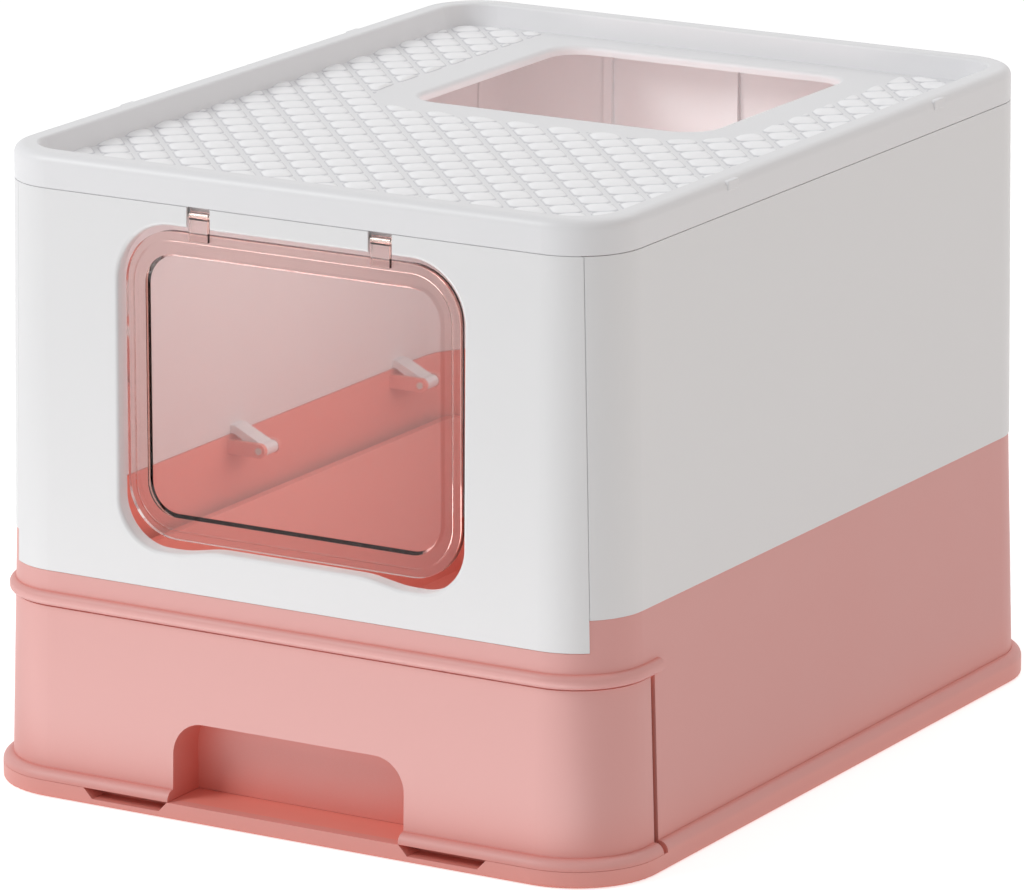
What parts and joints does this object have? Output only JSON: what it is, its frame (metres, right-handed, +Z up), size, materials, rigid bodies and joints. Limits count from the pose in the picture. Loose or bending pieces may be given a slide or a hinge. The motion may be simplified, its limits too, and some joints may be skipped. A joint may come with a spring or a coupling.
{
  "type": "drawer litter box",
  "caption": "Foldable cabin with a rounded top entry and a clear swinging flap, over a pull-out litter drawer.",
  "frame": {"origin": "centre of the base's underside, on the floor", "axes": "+Z up, +Y to the back; the flap and the drawer front face -Y, so +X is on the viewer's right from the front"},
  "size_m": [0.4138, 0.5238, 0.3635],
  "materials": {
    "white_plastic": "satin injection moulded polypropylene",
    "pink_plastic": "satin injection moulded polypropylene",
    "clear_tint_plastic": "clear warm tinted styrene, polished",
    "pin_plastic": "plain acetal"
  },
  "bodies": {
    "cabin": {"base_plate": "pink_plastic", "base_shell": "pink_plastic", "front_panel": "white_plastic", "back_panel": "white_plastic", "door_hinge_pin_left": "pin_plastic", "door_hinge_pin_right": "pin_plastic", "fold_pin_left_front": "pin_plastic", "fold_pin_left_middle": "pin_plastic", "fold_pin_left_rear": "pin_plastic", "fold_pin_right_front": "pin_plastic", "fold_pin_right_middle": "pin_plastic", "fold_pin_right_rear": "pin_plastic"},
    "lid": {"lid": "white_plastic"},
    "door": {"door_flap": "clear_tint_plastic"},
    "drawer": {"drawer_tray": "pink_plastic", "drawer_front": "pink_plastic"},
    "side_left": {"side_panel_left": "white_plastic"},
    "side_right": {"side_panel_right": "white_plastic"}
  },
  "joints": [
    {"name": "drawer_slide", "type": "slide", "parent": "cabin", "child": "drawer", "axis": [0, -1, 0], "range_m": [0, 0.4]},
    {"name": "lid_lift", "type": "slide", "parent": "cabin", "child": "lid", "axis": [0, 0, 1], "range_m": [0, 0.06]},
    {"name": "door_swing", "type": "hinge", "parent": "cabin", "child": "door", "pos_m": [0, -0.2474, 0.3395], "axis": [1, 0, 0], "range_deg": [-85, 85]},
    {"name": "side_fold_right", "type": "hinge", "parent": "cabin", "child": "side_right", "pos_m": [0.1735, 0, 0.139], "axis": [0, -1, 0], "range_deg": [0, 87.5]},
    {"name": "side_fold_left", "type": "hinge", "parent": "cabin", "child": "side_left", "pos_m": [-0.1735, 0, 0.139], "axis": [0, 1, 0], "range_deg": [0, 90]}
  ]
}
